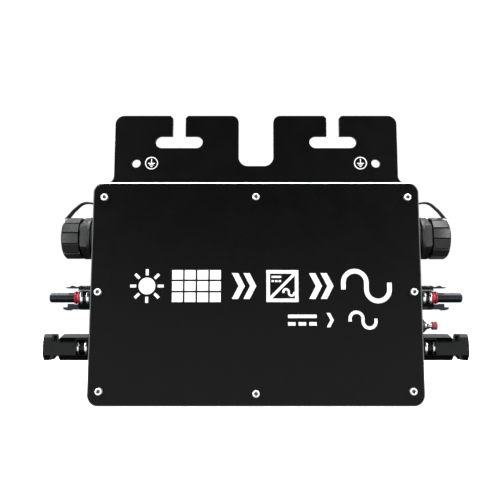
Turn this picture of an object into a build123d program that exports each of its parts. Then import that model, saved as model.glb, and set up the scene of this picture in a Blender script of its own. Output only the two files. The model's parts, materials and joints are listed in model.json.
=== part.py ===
from build123d import *
import math
import os

# A wall-hung solar micro inverter: a shallow cast box, a flat mounting frame with two ears, a
# screwed front cover, and connectors on both sides.
# Frame: X to the right seen from the front, Y to the back, Z up, millimetres.
# Origin: the middle of the bounding box in X and Y, at the bottom edge.

# ---------------------------------------------------------------- driving dimensions

cover_width = 245.0
cover_height = 165.0
cover_corner = 8.0
cover_thick = 2.5
cover_bevel = 0.8
gasket_thick = 0.8
frame_thick = 3.5
body_depth = 33.0          # frame front face to the outer face of the back plate
fin_depth = 4.3
wall = 3.0
window_half_width = 108.0
window_bottom = 17.0
window_top = 148.0

ear_half_width = 108.2
ear_top = 218.3
ear_corner = 7.0
notch_width = 26.4
notch_bottom = 178.6
slot_spacing = 118.0
slot_length = 36.0
slot_width = 9.6
slot_height = 197.5
earth_spacing = 183.0
earth_hole = 6.7
earth_height = 180.8
earth_mark_spacing = 159.4

screw_head_radius = 2.75   # M3 socket head cap screws
screw_head_height = 3.0
screw_radius = 1.5
screw_length = 12.0
screw_key = 2.5            # hexagon socket across flats
screw_key_depth = 1.6
clearance_hole = 1.7
boss_radius = 4.0
boss_depth = 5.5
boss_reach = 6.0           # a boss this near a wall is joined to it
screw_places = [
    (-113.5, 10.6), (0.0, 9.0), (113.5, 10.6),
    (-116.3, 82.3), (116.3, 82.3),
    (-113.5, 153.1), (0.0, 153.4), (113.5, 153.1),
]

axis_depth = 20.0          # connector axes, behind the front face of the cover
ac_height = 125.0
plug_height = 79.0
button_height = 57.6
socket_height = 41.6

ac_neck_radius = 9.9
ac_thread_radius = 13.8
ac_barrel_end = 144.7
ac_flats = 28.4
ac_flange_radius = 16.3
cap_start = 134.4
cap_shoulder = 145.8
cap_inner_end = 145.4
cap_end = 147.4
cap_end_radius = 14.7
cap_radius = 16.35
cap_sides = 12
cap_phase = 8.0            # turn of the cap's grooves from the middle plane, in degrees
cap_thread_pitch = 3.0
pv_neck_radius = 6.0
pv_shell_radius = 9.3
pv_ring_radius = 8.5
pv_pin_radius = 2.0
pv_socket_size = 19.5
plug_tip = 157.9
socket_tip = 159.2
button_press = 1.8

fit_gap = 0.05             # radial clearance of running fits
ink = 0.1                  # thickness of printed marks

# ---------------------------------------------------------------- derived positions

total_depth = screw_head_height + cover_thick + gasket_thick + body_depth + fin_depth
cover_front = -total_depth / 2 + screw_head_height
gasket_front = cover_front + cover_thick
frame_front = gasket_front + gasket_thick
frame_back = frame_front + frame_thick
back_outer = frame_front + body_depth
back_inner = back_outer - wall
axis_y = cover_front + axis_depth
wall_outer = cover_width / 2
wall_inner = wall_outer - wall

board_thick = 1.6
board_back = back_inner - 4.0
board_front = board_back - board_thick
board_half_width = 104.0
board_bottom = 20.0
board_top = 145.0


# ---------------------------------------------------------------- helpers

def plate(outline, front, thick):
    """A sketch in X and Z made into a plate whose front face lies at Y = front."""
    return extrude(Plane.XZ.offset(-(front + thick)) * outline, thick)


def block(x0, x1, y0, y1, z0, z1):
    """A box given by its limits."""
    return Pos((x0 + x1) / 2, (y0 + y1) / 2, (z0 + z1) / 2) * Box(x1 - x0, y1 - y0, z1 - z0)


def ring(x0, x1, outer, inner=0.0):
    """A disc or ring on the X axis."""
    outline = [(x0, inner), (x1, inner), (x1, outer), (x0, outer)]
    return revolve(make_face(Polyline(*outline, close=True)), Axis.X)


def turned(*outline):
    """A body of revolution on the X axis, from (x, radius) points."""
    return revolve(make_face(Polyline(*outline, close=True)), Axis.X)


def prism(x0, x1, size, sides, turn=0.0):
    """A regular prism along X, size across its flats."""
    shape = RegularPolygon(size / 2, sides, major_radius=False, rotation=turn)
    return extrude(Plane.YZ.offset(x0) * shape, x1 - x0)


def profile(points, y0, y1):
    """A polygon in X and Z made into a slab between two depths."""
    return plate(make_face(Polyline(*points, close=True)), y0, y1 - y0)


def on_axis(shape, height):
    """Move a part made on the X axis to its connector axis."""
    return Pos(0, axis_y, height) * shape


def round_rect(x0, x1, z0, z1, radius):
    """A rounded rectangle in the front view, given by its limits."""
    return Pos((x0 + x1) / 2, (z0 + z1) / 2) * RectangleRounded(x1 - x0, z1 - z0, radius)


# ---------------------------------------------------------------- housing and cover

def cover_outline():
    half = cover_width / 2
    return round_rect(-half, half, 0, cover_height, cover_corner)


def screw_holes(radius):
    return [Pos(x, z) * Circle(radius) for x, z in screw_places]


def slot_outline(x):
    """A T slot: a level slot with round ends, and its entry from the top edge."""
    level = Pos(x, slot_height) * SlotOverall(slot_length, slot_width)
    half = slot_width / 2
    mouth = 2.0
    entry = Pos(x, (slot_height + ear_top) / 2) * Rectangle(slot_width, ear_top - slot_height)
    corners = make_face(Polyline(
        (x - half - mouth, ear_top), (x - half, ear_top - mouth),
        (x + half, ear_top - mouth), (x + half + mouth, ear_top), close=True))
    return level + entry + corners


def frame_outline():
    """Outline of the mounting frame with both ears."""
    root = 6.0
    ears = Pos(0, (ear_top + cover_height) / 2) * Rectangle(
        2 * ear_half_width, ear_top - cover_height)
    ears = fillet(ears.vertices().group_by(Axis.Y)[-1], ear_corner)
    outline = cover_outline() + ears + Pos(0, cover_height - 5) * Rectangle(2 * ear_half_width, 10)
    inner = outline.vertices().filter_by(
        lambda v: abs(v.Y - cover_height) < 0.01 and abs(abs(v.X) - ear_half_width) < 0.01)
    outline = fillet(inner, root)
    notch = round_rect(-notch_width / 2, notch_width / 2, notch_bottom, ear_top + 20, ear_corner)
    outline -= notch
    crest = outline.vertices().filter_by(
        lambda v: abs(v.Y - ear_top) < 0.01 and abs(abs(v.X) - notch_width / 2) < 0.01)
    outline = fillet(crest, 5.5)
    for side in (-1, 1):
        outline -= slot_outline(side * slot_spacing / 2)
        outline -= Pos(side * earth_spacing / 2, earth_height) * Circle(earth_hole / 2)
    return outline


def window_outline():
    return round_rect(-window_half_width, window_half_width, window_bottom, window_top, 6)


def wall_holes():
    """Clearance holes for the connectors in both side walls, and for the button on the right."""
    cutters = []
    for height, radius in ((ac_height, ac_neck_radius), (plug_height, pv_neck_radius),
                           (socket_height, pv_neck_radius)):
        hole = on_axis(ring(wall_inner - 1, wall_outer + 1, radius + fit_gap), height)
        cutters += [hole, mirror(hole, about=Plane.YZ)]
    cutters.append(on_axis(ring(wall_inner - 1, wall_outer + 1, 3.5 + fit_gap), button_height))
    return cutters


board_posts = [(x, z) for x in (-97.0, 0.0, 97.0) for z in (25.0, 140.0)]
clamp_posts = [(-60.0, 153.5), (0.0, 153.5), (60.0, 153.5)]


def make_frame():
    """Flat frame between the cover and the box, with the ears that hang the inverter."""
    outline = frame_outline() - window_outline()
    outline -= Sketch() + screw_holes(clearance_hole)
    return plate(outline, frame_front, frame_thick)


def make_housing():
    """Open box with cooling fins on its back, bosses for the screws and posts for the board."""
    outer = cover_outline()
    inner = round_rect(-wall_inner, wall_inner, wall, cover_height - wall, cover_corner - wall)
    walls = plate(outer - inner, frame_back, back_outer - frame_back)
    back = plate(outer, back_inner, wall)
    body = walls + back
    for x, z in screw_places:
        boss = Pos(x, z) * Circle(boss_radius)
        if abs(x) > wall_inner - boss_radius:
            boss += Pos(math.copysign(wall_inner - 0.5, x), z) * Rectangle(5, 2 * boss_radius)
        if min(z, cover_height - z) < wall + boss_radius + boss_reach:
            edge = wall - 1 if z < cover_height / 2 else cover_height - wall + 1
            boss += Pos(x, (z + edge) / 2) * Rectangle(2 * boss_radius, abs(z - edge))
        body += plate(boss & outer, frame_back, boss_depth)
    for x, z in board_posts:
        body += plate(Pos(x, z) * Circle(3.5), board_back, back_inner - board_back)
    for x, z in clamp_posts:
        body += plate(Pos(x, z) * Circle(3.0), back_inner - 4.8, 4.8)
    fin_count = 25
    fin_pitch = 9.0
    for index in range(fin_count):
        x = (index - (fin_count - 1) / 2) * fin_pitch
        fin = Pos(x, cover_height / 2) * Rectangle(2.2, cover_height - 14)
        body += plate(fin, back_outer - 0.5, fin_depth + 0.5)
    body -= plate(Sketch() + screw_holes(screw_radius + fit_gap), frame_back, boss_depth)
    for x, z in board_posts:
        body -= plate(Pos(x, z) * Circle(1.5), board_back, 5.5)
    for x, z in clamp_posts:
        body -= plate(Pos(x, z) * Circle(1.5), back_inner - 4.8, 6.0)
    for cutter in wall_holes():
        body -= cutter
    return body


def make_cover():
    cover = plate(cover_outline(), cover_front, cover_thick)
    rim = cover.faces().sort_by(Axis.Y)[0].edges()
    cover = chamfer(rim, cover_bevel)
    return cover - plate(Sketch() + screw_holes(clearance_hole), cover_front, cover_thick)


def make_gasket():
    half = cover_width / 2 - 0.4
    outline = round_rect(-half, half, 0.4, cover_height - 0.4, cover_corner - 0.4)
    outline -= window_outline()
    outline -= Sketch() + screw_holes(clearance_hole)
    return plate(outline, gasket_front, gasket_thick)


def cap_screw(x, z):
    """A socket head cap screw that points to the back, head on the cover."""
    axis = Plane(origin=(x, cover_front, z), x_dir=(1, 0, 0), z_dir=(0, -1, 0))
    head = extrude(axis * Circle(screw_head_radius), screw_head_height)
    head = chamfer(head.faces().sort_by(Axis.Y)[0].edges(), 0.3)
    shank = extrude(axis * Circle(screw_radius), -screw_length)
    socket = RegularPolygon(screw_key / 2, 6, major_radius=False)
    floor = screw_head_height - screw_key_depth
    return head + shank - extrude(axis.offset(floor) * socket, screw_key_depth + 1)


def make_cover_screws():
    return [cap_screw(x, z) for x, z in screw_places]


# ---------------------------------------------------------------- printed marks

def bar(x, z, width, height):
    return Pos(x, z) * Rectangle(width, height)


def chevron(x, z, size, stroke):
    """An arrow head that points right, its tip at x + size / 2."""
    half = size / 2
    outline = [(x - half, z - size), (x - half + stroke, z - size), (x + half, z),
               (x - half + stroke, z + size), (x - half, z + size), (x + half - stroke, z)]
    return make_face(Polyline(*outline, close=True))


def wave(x, z, width, height, stroke):
    """One period of an alternating-current wave, two half rings and their ends."""
    radius = width / 4
    rise = height / 2 - radius
    crest = Circle(radius + stroke / 2) - Circle(radius - stroke / 2)
    upper = crest & Pos(0, radius) * Rectangle(4 * radius, 2 * radius)
    lower = crest & Pos(0, -radius) * Rectangle(4 * radius, 2 * radius)
    sign = Pos(x - radius, z + rise) * upper + Pos(x + radius, z - rise) * lower
    for step in (-2, 0, 2):
        sign += bar(x + step * radius, z, stroke, 2 * rise)
    return sign


def solar_panel(x, z, width, height):
    """A framed panel of three by four cells."""
    sign = Sketch()
    columns = 4
    rows = 3
    gap = 1.3
    cell_width = (width - gap * (columns - 1)) / columns
    cell_height = (height - gap * (rows - 1)) / rows
    for column in range(columns):
        for row in range(rows):
            cx = x - width / 2 + cell_width / 2 + column * (cell_width + gap)
            cz = z - height / 2 + cell_height / 2 + row * (cell_height + gap)
            sign += bar(cx, cz, cell_width, cell_height)
    return sign


def sun(x, z, radius):
    """A disc with eight rays."""
    sign = Sketch() + Pos(x, z) * Circle(radius * 0.5)
    for index in range(8):
        ray = Pos(radius * 0.82, 0) * Rectangle(radius * 0.36, radius * 0.17)
        sign += Pos(x, z) * Rot(0, 0, index * 45) * ray
    return sign


def direct_current(x, z, width, stroke):
    """A long bar over three short ones."""
    sign = bar(x, z + stroke * 1.1, width, stroke)
    short = width * 0.26
    for index in (-1, 0, 1):
        sign += bar(x + index * (width - short) / 2, z - stroke * 1.1, short, stroke)
    return sign


def converter(x, z, size, stroke):
    """A square cut by a diagonal, direct current above it and alternating current below it."""
    inner = size - 2 * stroke
    sign = Rectangle(size, size) - Rectangle(inner, inner)
    sign += Rot(0, 0, 45) * Rectangle(inner * math.sqrt(2), stroke * 0.8)
    sign += direct_current(-size * 0.19, size * 0.22, size * 0.3, stroke * 0.55)
    sign += wave(size * 0.2, -size * 0.2, size * 0.34, size * 0.2, stroke * 0.6)
    return Pos(x, z) * sign


def make_front_print():
    """Two rows of electrical signs, sunlight to direct current to alternating current."""
    middle = 86.8
    height = 23.6
    row = sun(-80.5, middle, 12.4)
    row += solar_panel(-44.0, middle, 36.0, height)
    row += chevron(-13.0, middle, 9.5, 4.6) + chevron(-4.5, middle, 9.5, 4.6)
    row += converter(19.5, middle, height, 2.6)
    row += chevron(44.0, middle, 9.5, 4.6) + chevron(52.5, middle, 9.5, 4.6)
    row += wave(81.5, middle, 34.0, 22.0, 3.4)
    small = 61.8
    row += direct_current(34.0, small, 21.0, 2.5)
    row += chevron(54.5, small, 5.2, 2.5)
    row += wave(78.5, small, 19.0, 11.6, 2.3)
    return plate(row, cover_front - ink, ink)


def make_earth_marks():
    """The protective earth sign in a ring, beside each earth hole."""
    marks = Sketch()
    for side in (-1, 1):
        sign = Circle(4.9) - Circle(4.2)
        sign += bar(0, 1.6, 0.7, 3.4)
        for index, width in enumerate((5.0, 3.2, 1.5)):
            sign += bar(0, -0.2 - 1.25 * index, width, 0.7)
        marks += Pos(side * earth_mark_spacing / 2, earth_height) * sign
    return plate(marks, frame_front - ink, ink)


# ---------------------------------------------------------------- alternating-current connector

washer_start = wall_outer
anchor_start = washer_start + 1.0
anchor_end = anchor_start + 2.0
collar_start = anchor_end
hex_start = 128.1
hex_end = 133.2


def make_ac_socket():
    """Panel socket: neck with lock nut thread, washer collar, hexagon and threaded barrel."""
    neck = ring(108.0, collar_start + 1, ac_neck_radius, 7.5)
    collar = ring(collar_start, hex_start, ac_flange_radius, 7.5)
    flats = prism(hex_start, hex_end, ac_flats, 6, 30) & turned(
        (hex_start, 0), (hex_end, 0), (hex_end, ac_flange_radius - 0.6),
        (hex_end - 0.6, ac_flange_radius), (hex_start, ac_flange_radius))
    collar += flats - ring(hex_start, hex_end, 7.5)
    groove = 0.8
    step = cap_thread_pitch
    outline = [(hex_end - 0.5, 11.2), (ac_barrel_end, 11.2), (ac_barrel_end, 12.9)]
    x = ac_barrel_end
    for index in range(3):
        crest = x - index * step
        outline += [(crest - 0.5, 12.9), (crest - 0.5 - groove, ac_thread_radius),
                    (crest - 1.3 - groove, ac_thread_radius), (crest - step + 0.1, 12.9)]
    outline += [(hex_end - 0.5, 12.9)]
    barrel = turned(*outline)
    body = neck + collar + barrel
    body -= ring(127.0, hex_end + 1, 11.2)
    return on_axis(body, ac_height)


ac_pin_start = 108.5
pin_circle = 5.0
pin_angles = (90, 210, 330)


def pin_place(angle):
    """Depth and height of a contact around the connector axis."""
    return pin_circle * math.cos(math.radians(angle)), pin_circle * math.sin(math.radians(angle))


def make_ac_insert():
    """Insulating insert that carries three contacts."""
    insert = ring(112.0, 127.0, 7.4) + ring(127.0, 134.0, 11.1)
    insert = insert - ring(133.0, 134.0, 9.8, 8.6)
    for angle in pin_angles:
        y, z = pin_place(angle)
        insert -= Pos(0, y, z) * ring(111.0, 135.0, 1.25)
    return on_axis(insert, ac_height)


def make_ac_pins():
    pins = []
    for angle in pin_angles:
        y, z = pin_place(angle)
        pin = turned((ac_pin_start, 0), (141.0, 0), (141.0, 0.6), (140.2, 1.25),
                     (ac_pin_start, 1.25))
        pins.append(on_axis(Pos(0, y, z) * pin, ac_height))
    return pins


def make_ac_seal():
    return on_axis(ring(washer_start, anchor_start, 12.8, ac_neck_radius), ac_height)


def make_ac_nut():
    nut = prism(wall_inner - 4.0, wall_inner, 24.0, 6, 30)
    nut -= ring(wall_inner - 5, wall_inner + 1, ac_neck_radius)
    return on_axis(nut, ac_height)


def make_dust_cap():
    """Twelve-sided screw cap with a button on its end that holds the tether."""
    corner = cap_radius * math.cos(math.pi / cap_sides) * 2
    shell = prism(cap_start, cap_end, corner, cap_sides)
    shell &= turned((cap_start, 0), (cap_end, 0), (cap_end, cap_end_radius),
                    (cap_shoulder, cap_radius), (cap_start + 0.6, cap_radius),
                    (cap_start, cap_radius - 0.6))
    for index in range(cap_sides):
        groove = Pos((cap_start + cap_end) / 2, cap_radius - 0.15, 0) * Rot(45, 0, 0) * Box(
            cap_end - cap_start + 2, 0.95, 0.95)
        shell -= Rot(index * 360 / cap_sides, 0, 0) * groove
    cap = Rot(cap_phase, 0, 0) * (shell - ring(cap_start - 1, cap_inner_end, ac_thread_radius + fit_gap))
    cap += ring(cap_end - 0.5, cap_end + 1.2, 4.0)
    cap += turned((cap_end + 1.2, 0), (cap_end + 2.2, 0), (cap_end + 2.2, 4.8),
                  (cap_end + 1.7, 5.4), (cap_end + 1.2, 5.4))
    return on_axis(cap, ac_height)


def make_cap_seal():
    return on_axis(ring(cap_inner_end - 0.5, cap_inner_end, ac_thread_radius, 10.5), ac_height)


tether_width = 4.0
tether_thick = 1.0
tether_x = cap_end + 0.1
tether_centre = tether_x + tether_thick / 2
anchor_centre = (anchor_start + anchor_end) / 2


def make_tether_anchor():
    """Tether's root ring, clamped under the socket's collar."""
    root = ring(anchor_start, anchor_end, 14.6, ac_neck_radius)
    tab = block(anchor_centre - tether_thick / 2, anchor_centre + tether_thick / 2,
                -tether_width / 2, tether_width / 2, 14.0, 16.5)
    return on_axis(root + tab, ac_height)


def make_tether_strap():
    """The tether's free strap, a flat rubber band that arches from the root to the cap's end."""
    route = FilletPolyline(
        (anchor_centre, 16.5), (anchor_centre, 27.2), (135.0, 28.8), (142.6, 21.8), (146.5, 16.8),
        (tether_centre, 15.2), (tether_centre, 8.6), radius=(3.5, 9.0, 12.0, 3.0, 1.5))
    band = plate(trace(route, tether_thick), -tether_width / 2, tether_width)
    return on_axis(band, ac_height)


def make_tether_ring():
    """The tether's end ring, free to turn around the button on the cap."""
    end = ring(tether_x, tether_x + tether_thick, 7.2, 4.0 + fit_gap)
    tab = block(tether_x, tether_x + tether_thick, -tether_width / 2, tether_width / 2, 6.5, 8.6)
    return on_axis(end + tab - ring(tether_x, tether_x + tether_thick, 4.0 + fit_gap), ac_height)


# ---------------------------------------------------------------- direct-current connectors

neck_inner = 108.0
base_end = 126.0
wide_ring_end = 128.7
slim_ring_length = 2.0
plug_ring_start = 131.2
socket_ring_start = 132.6
groove_radius = 7.2
core_radius = 6.2
contact_radius = 2.6
seal_start = 133.8
seal_end = 138.8
seal_radius = 4.95
barrel_radius = 3.72
flange_radius = 4.4


def pv_neck(ring_start):
    """Threaded neck through the wall, base disc and the waist that carries the bright rings."""
    front = ring_start + slim_ring_length + 0.6
    outline = [(neck_inner, contact_radius), (front, contact_radius), (front, core_radius),
               (ring_start, core_radius), (ring_start, groove_radius),
               (wide_ring_end, groove_radius), (wide_ring_end, core_radius),
               (base_end, core_radius), (base_end, pv_shell_radius),
               (wall_outer, pv_shell_radius), (wall_outer, pv_neck_radius),
               (neck_inner, pv_neck_radius)]
    return turned(*outline)


def latch_arms():
    """Two springy latch arms, the upper one thin, and a rib that keeps the plug upright."""
    root = plug_ring_start + slim_ring_length
    upper = [(root, 7.1), (145.6, 7.3), (145.6, 7.7), (142.2, 8.2), (141.2, 9.1), (140.4, 9.1),
             (139.6, 8.2), (136.2, 8.2), (135.0, 8.9), (root, 8.9)]
    lower = [(root, -7.0), (147.0, -7.4), (147.0, -8.8), (144.4, -9.7), (142.8, -9.7),
             (141.6, -9.0), (root, -9.0)]
    rib = [(root, -5.1), (139.8, -5.1), (140.2, -4.7), (143.9, -4.7), (144.4, -5.2), (144.4, -7.6),
           (root, -7.6)]
    return profile(upper, -3.6, 3.6) + profile(lower, -3.6, 3.6) + profile(rib, -1.6, 1.6)


def make_pv_plug():
    """Plug half: waist with windows, two latch arms and the contact barrel."""
    ring_end = plug_ring_start + slim_ring_length
    window = 4.7
    body = pv_neck(plug_ring_start)
    shell = ring(base_end - 0.1, 134.8, pv_shell_radius, pv_ring_radius + 0.1)
    shell -= block(base_end + 0.4, ring_end + 0.6, -12, 12, -window, window)
    shell -= block(ring_end + 0.5, 140, -12, 12, -window - 0.3, window + 0.3)
    disc = ring(ring_end, seal_start, pv_ring_radius + 0.3, contact_radius)
    core = ring(ring_end - 1, seal_start + 1, core_radius)
    disc -= block(ring_end - 1, seal_start + 1, -12, -4.6, -12, 12) - core
    disc -= block(ring_end - 1, seal_start + 1, 4.6, 12, -12, 12) - core
    barrel = turned(
        (seal_start - 0.4, contact_radius), (plug_tip, contact_radius), (plug_tip, 3.2),
        (plug_tip - 0.6, barrel_radius), (seal_end + 0.8, barrel_radius),
        (seal_end + 0.6, flange_radius), (seal_end + 0.1, flange_radius),
        (seal_end, barrel_radius), (seal_start - 0.4, barrel_radius))
    body = body + shell + disc + barrel + latch_arms()
    return on_axis(body, plug_height)


def make_pv_plug_contact():
    """Contact sleeve inside the barrel, open towards the tip."""
    bore = pv_pin_radius + fit_gap
    sleeve = turned((neck_inner, 0), (147.0, 0), (147.0, bore), (157.4, bore), (157.4, 2.6),
                    (neck_inner, 2.6))
    return on_axis(sleeve, plug_height)


def make_pv_plug_seal():
    """Sealing ring with two beads."""
    waist = seal_radius - 0.4
    middle = (seal_start + seal_end) / 2
    seal = turned(
        (seal_start, barrel_radius), (seal_end, barrel_radius), (seal_end, waist),
        (seal_end - 0.5, seal_radius), (middle + 0.4, seal_radius), (middle, waist),
        (middle - 0.4, seal_radius), (seal_start + 0.5, seal_radius), (seal_start, waist))
    return on_axis(seal, plug_height)


def make_pv_rings(height, ring_start):
    """Two bright rings around the waist."""
    wide = ring(base_end, wide_ring_end, pv_ring_radius, core_radius)
    slim = ring(ring_start, ring_start + slim_ring_length, pv_ring_radius, core_radius)
    return [on_axis(wide, height), on_axis(slim, height)]


def make_pv_nut(height):
    nut = prism(wall_inner - 3.5, wall_inner, 15.0, 6, 30)
    nut -= ring(wall_inner - 5, wall_inner + 1, pv_neck_radius)
    return on_axis(nut, height)


def socket_section(half):
    """Square section with bevelled corners, seen along X; the upper bevels have two steps."""
    side = [(6.0, -half), (half, -5.7), (half, 3.4), (half - 1.15, 7.3), (half - 3.1, half)]
    points = side + [(-y, z) for y, z in reversed(side)]
    return make_face(Polyline(*points, close=True))


def make_pv_socket():
    """Socket half: square sleeve with ring windows, latch notches, grooves and a contact well."""
    half = pv_socket_size / 2
    window = 5.6
    well_start = 138.0
    well_radius = 4.9
    ring_end = socket_ring_start + slim_ring_length
    sleeve = extrude(Plane.YZ.offset(base_end) * socket_section(half), socket_tip - base_end)
    sleeve -= ring(base_end, ring_end, pv_ring_radius + 0.1)
    sleeve -= block(base_end + 0.4, ring_end, -12, 12, -window, window)
    body = sleeve + pv_neck(socket_ring_start)
    body -= ring(well_start, socket_tip, well_radius)
    body -= block(147.4, socket_tip, -3.9, 3.9, -8.5, 8.5)
    upper_notch = [(143.7, half + 1), (153.2, half + 1), (153.2, 4.6), (149.0, 4.6)]
    lower_notch = [(147.2, -half - 1), (156.2, -half - 1), (152.6, -5.8), (147.8, -5.8)]
    body -= profile(upper_notch, -12, 12)
    body -= profile(lower_notch, -12, 12)
    groove_start = 135.4
    for side in (-1, 1):
        groove = make_face(Polyline((side * (half + 0.1), 3.5), (side * (half - 3.2), 5.3),
                                    (side * (half + 0.1), 8.3), close=True))
        body -= extrude(Plane.YZ.offset(groove_start) * groove, 11.2, dir=(1, 0, 0))
        y0, y1 = sorted((side * (half - 0.3), side * (half + 1)))
        body -= block(groove_start, socket_tip - 0.8, y0, y1, 0.6, 1.0)
    body -= ring(neck_inner - 1, well_start + 1, contact_radius)
    return on_axis(body, socket_height)


def make_pv_socket_contact():
    pin = turned((neck_inner, 0), (148.8, 0), (148.8, 1.2), (148.0, pv_pin_radius),
                 (139.0, pv_pin_radius), (139.0, 2.6), (neck_inner, 2.6))
    return on_axis(pin, socket_height)


# ---------------------------------------------------------------- push button

button_nose = 132.4
button_cap_start = button_nose + button_press + 0.2
button_cap_end = 138.3
button_stem_end = 135.9
button_stop = 114.6
button_floor = 103.0


def make_button_collar():
    return on_axis(ring(wall_outer, 128.6, 5.5, 3.5), button_height)


def make_button_bush():
    """Bright threaded bush with a conical nose that guides the stem."""
    outline = [(button_stop, 1.9 + fit_gap), (button_nose, 1.9 + fit_gap), (button_nose, 2.3),
               (131.2, 2.6), (129.3, 4.1), (128.6, 4.2), (128.6, 3.5), (button_stop, 3.5)]
    return on_axis(turned(*outline), button_height)


def make_button_nut():
    nut = prism(wall_inner - 2.2, wall_inner, 10.0, 6, 30)
    nut -= ring(wall_inner - 5, wall_inner + 1, 3.5)
    return on_axis(nut, button_height)


def make_button_switch():
    """Switch case behind the wall, hollow for the spring and the stem's head."""
    case = ring(button_floor - 3.0, wall_inner - 2.2, 5.0, 3.5 + fit_gap)
    case += ring(button_floor - 3.0, button_floor, 5.0)
    for side in (-1, 1):
        case += block(95.0, 100.5, side * 2.4 - 0.35, side * 2.4 + 0.35, -1.2, 1.2)
    return on_axis(case, button_height)


def make_button_stem():
    outline = [(button_stop - 1.5, 0), (button_stem_end, 0), (button_stem_end, 1.9), (button_stop, 1.9),
               (button_stop, 3.3), (button_stop - 1.5, 3.3)]
    return on_axis(turned(*outline), button_height)


def make_button_cap():
    outline = [(button_stem_end, 0), (button_cap_end, 0), (button_cap_end, 2.6),
               (button_cap_end - 0.5, 3.2), (button_cap_start + 0.5, 3.2), (button_cap_start, 2.8),
               (button_cap_start, 1.9), (button_stem_end, 1.9)]
    return on_axis(turned(*outline), button_height)


def make_button_spring():
    """Return spring between the switch floor and the stem's head."""
    wire = 0.25
    coil = 2.4
    length = button_stop - 1.5 - button_floor - 2 * wire - 0.1
    path = Helix(length / 6, length, coil)
    start = path @ 0
    section = Plane(origin=start, z_dir=path % 0) * Circle(wire)
    spring = sweep(section, path)
    return on_axis(Pos(button_floor + wire + 0.05, 0, 0) * Rot(0, 90, 0) * spring, button_height)


# ---------------------------------------------------------------- circuit inside the box

def make_board():
    outline = round_rect(-board_half_width, board_half_width, board_bottom, board_top, 3)
    for x, z in board_posts:
        outline -= Pos(x, z) * Circle(1.6)
    return plate(outline, board_front, board_thick)


def pan_screw(x, z, seat, length):
    """A small round-headed screw that points to the back."""
    axis = Plane(origin=(x, seat, z), x_dir=(1, 0, 0), z_dir=(0, -1, 0))
    head = extrude(axis * Circle(2.8), 1.8)
    slot = block(x - 2.2, x + 2.2, seat - 2.0, seat - 1.0, z - 0.4, z + 0.4)
    return head + extrude(axis * Circle(1.45), -length) - slot


def make_board_screws():
    return [pan_screw(x, z, board_front, 6.0) for x, z in board_posts]


transformer_places = (-32.0, 32.0)
transformer_height = 95.0
transformer_y = board_front - 11.0


def make_transformer_cores():
    cores = []
    for x in transformer_places:
        core = block(x - 20, x + 20, transformer_y - 7, transformer_y + 7,
                     transformer_height - 20, transformer_height + 20)
        for side in (-1, 1):
            centre = x + side * 10.5
            core -= block(centre - 4, centre + 4, transformer_y - 8, transformer_y + 8,
                          transformer_height - 14, transformer_height + 14)
        cores.append(core)
    return cores


def make_transformer_windings():
    windings = []
    for x in transformer_places:
        outer = Rectangle(27.6, 22.0)
        outer = fillet(outer.vertices(), 4)
        coil = extrude(Plane.XY * outer - Plane.XY * Rectangle(13.2, 14.2), 26)
        windings.append(Pos(x, transformer_y, transformer_height - 13) * coil)
    return windings


def make_capacitors():
    """Electrolytic cans lying on the board, with a crimp near their foot."""
    cans = []
    radius = 9.0
    for x in (-82.0, -62.0, 62.0, 82.0):
        outline = [(0, 0), (34, 0), (34, 8.2), (33.2, radius), (5.0, radius), (4.2, 8.3),
                   (3.4, 8.3), (2.6, radius), (0, radius)]
        can = Rot(0, -90, 0) * turned(*outline)
        cans.append(Pos(x, board_front - radius, 26) * can)
    return cans


def make_film_capacitors():
    boxes = []
    for x in (-78.0, 78.0):
        shape = block(x - 13, x + 13, board_front - 18, board_front, 92, 103)
        boxes.append(fillet(shape.faces().sort_by(Axis.Y)[0].edges(), 1.0))
    return boxes


choke_place = (0.0, 46.0)


def make_choke_core():
    x, z = choke_place
    return plate(Pos(x, z) * (Circle(14) - Circle(7.5)), board_front - 13, 9.6)


def make_choke_winding():
    """Two groups of turns around the ring core, left and right."""
    x, z = choke_place
    turns = []
    middle = board_front - 13 + 4.8
    for side in (-1, 1):
        for index in range(7):
            angle = math.radians(-54 + 18 * index)
            loop = Rectangle(10.6, 13.8) - Rectangle(7.0, 10.0)
            solid = extrude(Plane.XY.offset(-1.0) * loop, 2.0)
            place = Pos(x + side * 10.75 * math.cos(angle), middle, z + 10.75 * math.sin(angle))
            turns.append(place * Rot(0, -side * math.degrees(angle), 0) * solid)
    return turns


def make_relays():
    boxes = []
    for x in (-76.0, 76.0):
        shape = block(x - 10, x + 10, board_front - 15.5, board_front, 116, 132)
        boxes.append(fillet(shape.edges().filter_by(Axis.Y), 0.8))
    return boxes


def make_fuse():
    """Glass fuse in two clips, across the board."""
    glass = ring(20.0, 36.0, 2.4)
    return [Pos(0, board_front - 5.0, 132.0) * glass]


def make_fuse_clips():
    clips = []
    for x0, x1 in ((14.5, 20.0), (36.0, 41.5)):
        cap = Pos(0, board_front - 5.0, 132.0) * ring(x0, x1, 2.6)
        foot = block(x0 + 1, x1 - 1, board_front - 5.0, board_front, 130.6, 133.4)
        clips.append(cap + foot)
    return clips


def make_chips():
    """Control and driver circuits, flat on the board."""
    chips = []
    for x, z, size in ((0, 84, 12), (0, 106, 10), (-4, 68, 6), (6, 68, 6), (-52, 70, 7), (52, 70, 7)):
        chips.append(block(x - size / 2, x + size / 2, board_front - 1.6, board_front,
                           z - size / 2, z + size / 2))
    return chips


transistor_places = [-75.0, -45.0, -30.0, -15.0, 15.0, 30.0, 45.0, 75.0]
pad_thick = 0.3
transistor_thick = 4.5


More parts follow.
